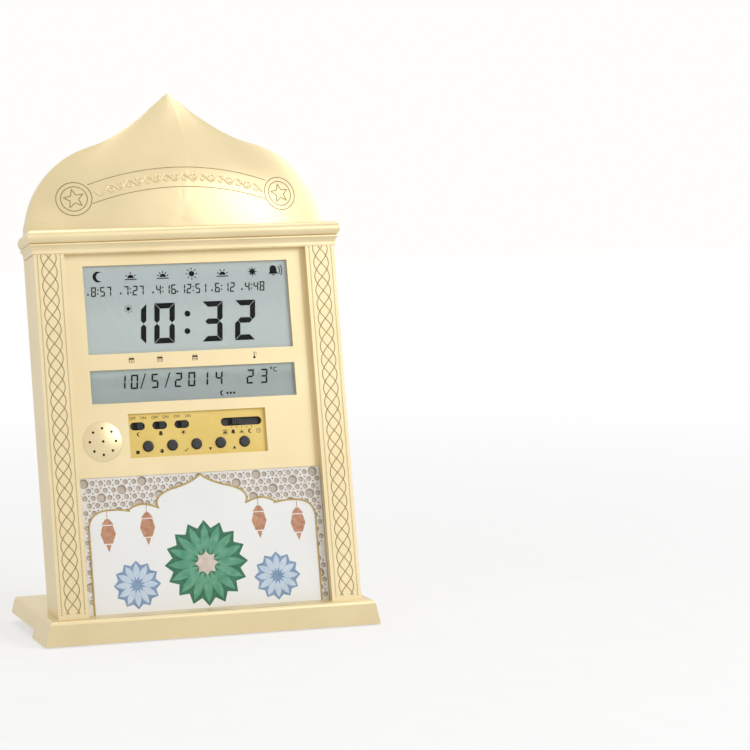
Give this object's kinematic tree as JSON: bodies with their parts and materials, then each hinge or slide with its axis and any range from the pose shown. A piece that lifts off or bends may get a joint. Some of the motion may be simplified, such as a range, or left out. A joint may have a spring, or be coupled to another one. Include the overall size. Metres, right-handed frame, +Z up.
{
  "type": "prayer time table clock",
  "caption": "Free-standing prayer-time clock: leaning gold arched case with a dome top on a plinth, displays, round keys, slide switches, a domed grille, a picture and a rear battery door.",
  "frame": {"origin": "centre of the object's box, on the surface it stands on", "axes": "+Z up, the displays face -Y, +X is to the right as seen from the front"},
  "size_m": [0.2, 0.0968, 0.3101],
  "materials": {
    "gold_paint": "satin champagne gold paint on moulded plastic",
    "dark_gold_paint": "satin deeper gold paint",
    "black_plastic": "satin black",
    "white_plastic": "matt",
    "rubber": "matt",
    "clear_plastic": "clear gloss",
    "display_glass": "grey-green reflective display",
    "printed_card": "printed, satin",
    "board_green": "satin solder mask",
    "steel": "zinc plated",
    "tin_plate": "bright",
    "cell_wrap": "gloss sleeve",
    "paper": "matt pressed paper",
    "ferrite": "matt",
    "grey_silicone": "matt",
    "ribbon": "satin"
  },
  "bodies": {
    "root": {"back_cover": "gold_paint", "back_cover_screws": "steel", "base_cover": "gold_paint", "base_cover_screws": "steel", "base_stand": "gold_paint", "battery_cells": "cell_wrap", "battery_contacts": "tin_plate", "battery_springs": "tin_plate", "board_capacitors": "cell_wrap", "board_screws": "steel", "body_screws": "steel", "clock_chip": "black_plastic", "contact_strips": "grey_silicone", "control_plate": "dark_gold_paint", "cornice_moulding": "gold_paint", "date_display_frame": "white_plastic", "date_display_glass": "display_glass", "date_display_window": "clear_plastic", "dome_pediment": "gold_paint", "fascia_panel": "gold_paint", "fascia_screws": "steel", "front_housing": "gold_paint", "key_switches": "black_plastic", "main_board": "board_green", "main_display_frame": "white_plastic", "main_display_glass": "display_glass", "main_display_window": "clear_plastic", "mode_switch_case": "black_plastic", "pediment_screws": "steel", "picture_card": "printed_card", "picture_cover": "clear_plastic", "quartz_crystal": "tin_plate", "ribbon_cable": "ribbon", "rubber_feet": "rubber", "slide_switch_cases": "black_plastic", "speaker_basket": "steel", "speaker_cone": "paper", "speaker_grille": "gold_paint", "speaker_magnet": "ferrite", "switch_board": "board_green", "switch_board_screws": "steel", "temperature_sensor": "paper"},
    "stop_button": {"stop_button": "black_plastic"},
    "city_button": {"city_button": "black_plastic"},
    "set_button": {"set_button": "black_plastic"},
    "down_button": {"down_button": "black_plastic"},
    "up_button": {"up_button": "black_plastic"},
    "left_slide_knob": {"left_slide_knob": "black_plastic"},
    "middle_slide_knob": {"middle_slide_knob": "black_plastic"},
    "right_slide_knob": {"right_slide_knob": "black_plastic"},
    "mode_slide_knob": {"mode_slide_knob": "black_plastic"},
    "battery_door": {"battery_door": "gold_paint"}
  },
  "joints": [
    {"name": "stop_press", "type": "slide", "parent": "root", "child": "stop_button", "axis": [0, 0.9781, -0.2079], "range_m": [0, 0.0008], "stiffness_N_per_m": 600},
    {"name": "city_press", "type": "slide", "parent": "root", "child": "city_button", "axis": [0, 0.9781, -0.2079], "range_m": [0, 0.0008], "stiffness_N_per_m": 600},
    {"name": "set_press", "type": "slide", "parent": "root", "child": "set_button", "axis": [0, 0.9781, -0.2079], "range_m": [0, 0.0008], "stiffness_N_per_m": 600},
    {"name": "down_press", "type": "slide", "parent": "root", "child": "down_button", "axis": [0, 0.9781, -0.2079], "range_m": [0, 0.0008], "stiffness_N_per_m": 600},
    {"name": "up_press", "type": "slide", "parent": "root", "child": "up_button", "axis": [0, 0.9781, -0.2079], "range_m": [0, 0.0008], "stiffness_N_per_m": 600},
    {"name": "left_slide", "type": "slide", "parent": "root", "child": "left_slide_knob", "axis": [1, 0, 0], "range_m": [-0.003, 0]},
    {"name": "middle_slide", "type": "slide", "parent": "root", "child": "middle_slide_knob", "axis": [1, 0, 0], "range_m": [-0.003, 0]},
    {"name": "right_slide", "type": "slide", "parent": "root", "child": "right_slide_knob", "axis": [1, 0, 0], "range_m": [-0.003, 0]},
    {"name": "mode_slide", "type": "slide", "parent": "root", "child": "mode_slide_knob", "axis": [1, 0, 0], "range_m": [-0.00303, 0.00909]},
    {"name": "battery_door_swing", "type": "hinge", "parent": "root", "child": "battery_door", "pos_m": [0, -0.0106, 0.03582], "axis": [-1, 0, 0], "range_deg": [0, 90]}
  ]
}
